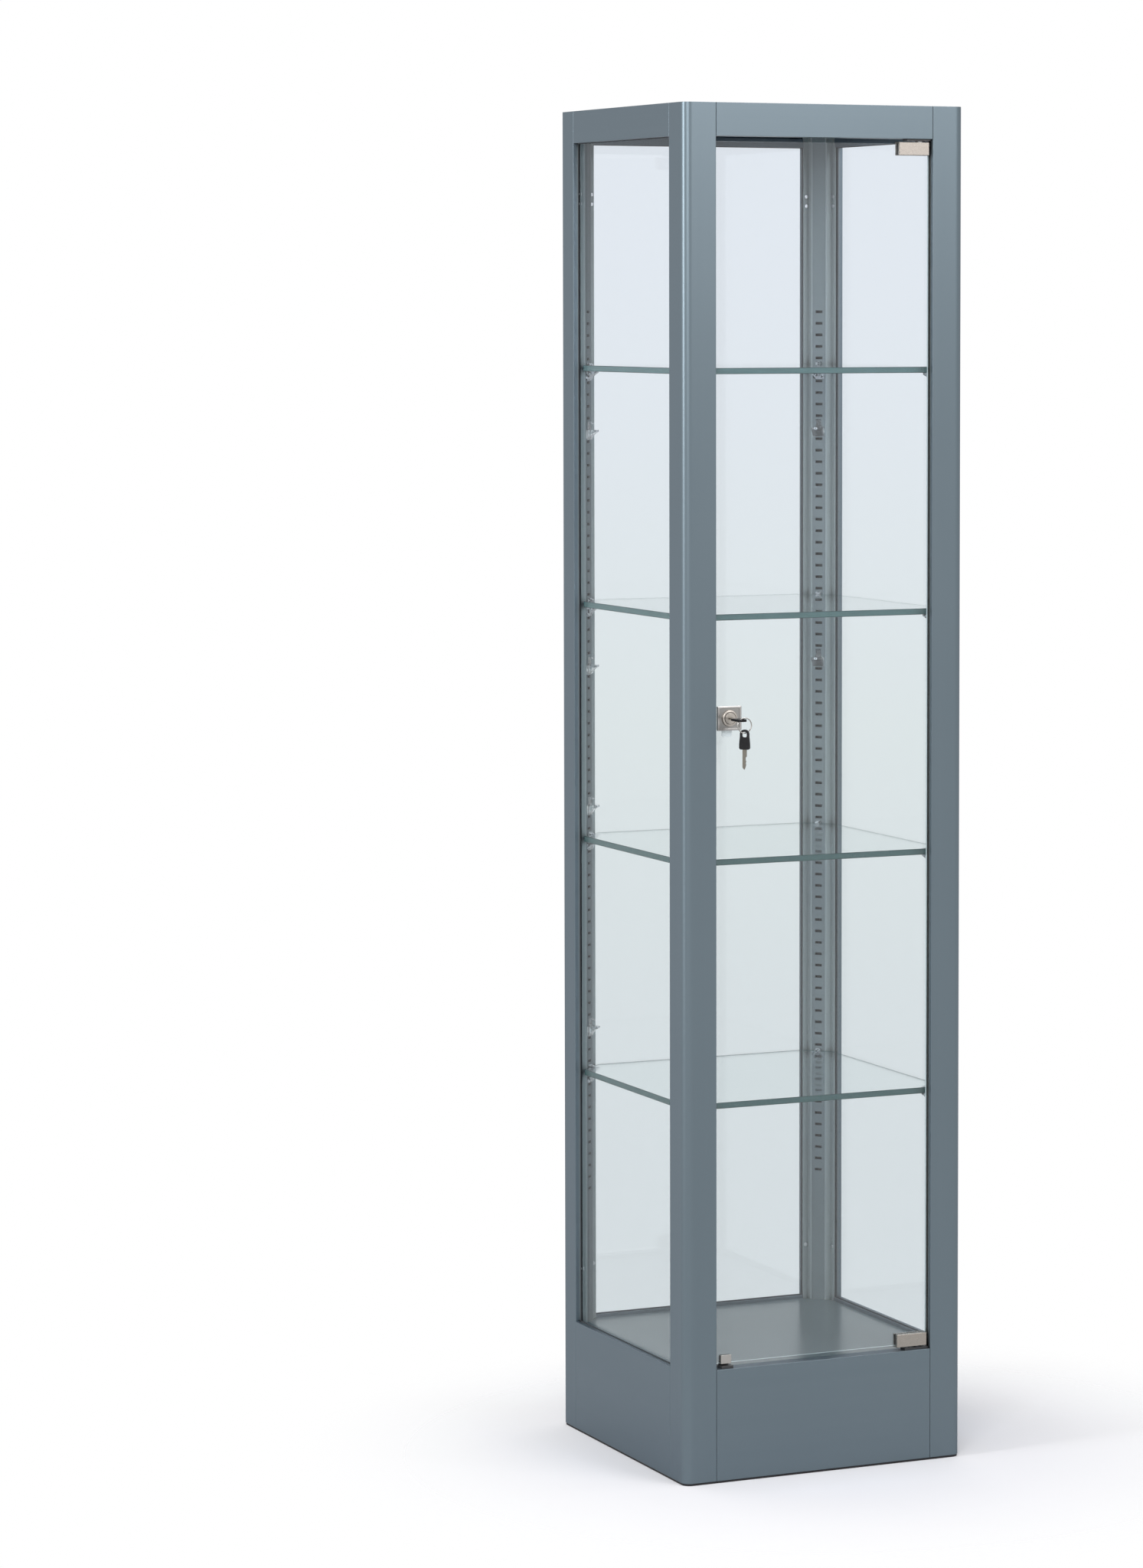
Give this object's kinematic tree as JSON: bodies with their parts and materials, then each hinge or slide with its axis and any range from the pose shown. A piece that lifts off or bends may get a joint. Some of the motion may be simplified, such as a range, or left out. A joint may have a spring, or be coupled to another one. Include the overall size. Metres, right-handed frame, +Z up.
{
  "type": "glass display cabinet",
  "caption": "Free-standing square glass display cabinet with aluminium corner posts, glass shelves on clips in slotted strips, and a glass pivot door with cam lock and keys.",
  "frame": {"origin": "on the floor under the middle of the cabinet", "axes": "+X right along the front, +Y from front to rear, +Z up; the door is at -Y"},
  "size_m": [0.406, 0.443, 1.8],
  "materials": {
    "frame_paint": "satin blue-grey coating on drawn aluminium",
    "strip_paint": "satin blue-grey coating",
    "panel_paint": "glossy blue-grey",
    "black_board": "matt black",
    "cap_plastic": "matt grey",
    "zinc_steel": "bright zinc",
    "clear_glass": "clear tempered glass, polished edges",
    "shelf_glass": "clear tempered glass, green polished edges",
    "black_rubber": "matt black",
    "clear_plastic": "clear moulded plastic",
    "satin_nickel": "satin nickel",
    "bush_plastic": "black",
    "black_steel": "black",
    "bright_steel": "bright nickel plate",
    "key_plastic": "satin black",
    "dark_magnet": "dark grey"
  },
  "bodies": {
    "frame": {"post_front_left": "frame_paint", "post_front_right": "frame_paint", "post_rear_right": "frame_paint", "post_rear_left": "frame_paint", "header_front": "frame_paint", "header_right": "frame_paint", "header_rear": "frame_paint", "header_left": "frame_paint", "plinth_front": "frame_paint", "plinth_right": "frame_paint", "plinth_rear": "frame_paint", "plinth_left": "frame_paint", "slotted_strip_front_left": "strip_paint", "slotted_strip_front_right": "strip_paint", "slotted_strip_rear_right": "strip_paint", "slotted_strip_rear_left": "strip_paint", "roof_panel": "panel_paint", "deck_panel": "panel_paint", "base_board": "black_board", "post_caps": "cap_plastic", "corner_angles": "zinc_steel", "pane_screws": "zinc_steel", "bracket_screws": "zinc_steel", "pane_left": "clear_glass", "pane_right": "clear_glass", "pane_rear": "clear_glass", "glass_shelf_1": "shelf_glass", "glass_shelf_2": "shelf_glass", "glass_shelf_3": "shelf_glass", "glass_shelf_4": "shelf_glass", "gasket_left": "black_rubber", "gasket_right": "black_rubber", "gasket_rear": "black_rubber", "shelf_clips": "clear_plastic", "spare_clips": "clear_plastic", "pivot_bush_bottom": "bush_plastic", "pivot_bush_top": "bush_plastic", "hinge_bracket_bottom": "black_steel", "hinge_bracket_top": "black_steel", "catch_base": "black_steel", "catch_magnet": "dark_magnet"},
    "door": {"door_glass": "clear_glass", "hinge_clamp_bottom": "satin_nickel", "hinge_clamp_top": "satin_nickel", "hinge_liners": "black_rubber", "hinge_clamp_screws": "zinc_steel", "pivot_pin_bottom": "zinc_steel", "pivot_pin_top": "zinc_steel", "lock_body": "satin_nickel", "lock_nut": "zinc_steel", "door_clip": "bright_steel"},
    "lock_barrel": {"lock_cylinder": "satin_nickel", "lock_cam": "zinc_steel", "cam_screw": "zinc_steel"},
    "key": {"key_blade": "bright_steel", "key_bow": "key_plastic"},
    "ring": {"key_ring": "bright_steel"},
    "spare_key": {"spare_key_blade": "bright_steel", "spare_key_bow": "key_plastic"}
  },
  "joints": [
    {"name": "door_swing", "type": "hinge", "parent": "frame", "child": "door", "pos_m": [0.143, -0.191, 0.95], "axis": [0, 0, 1], "range_deg": [0, 110]},
    {"name": "lock_turn", "type": "hinge", "parent": "door", "child": "lock_barrel", "pos_m": [-0.135, -0.19, 1.0036], "axis": [0, 1, 0], "range_deg": [0, 90]},
    {"name": "key_withdraw", "type": "slide", "parent": "lock_barrel", "child": "key", "axis": [0, -1, 0], "range_m": [0, 0.013]},
    {"name": "ring_swing", "type": "hinge", "parent": "key", "child": "ring", "pos_m": [-0.1301, -0.232, 1.0036], "axis": [0, 1, 0], "range_deg": [-90, 0]},
    {"name": "spare_key_swing", "type": "hinge", "parent": "ring", "child": "spare_key", "pos_m": [-0.1301, -0.232, 0.98705], "axis": [1, 0, 0], "range_deg": [-20, 20]}
  ],
  "couplings": [
    {"joint": "ring_swing", "follows": "lock_turn", "ratio": -1}
  ]
}
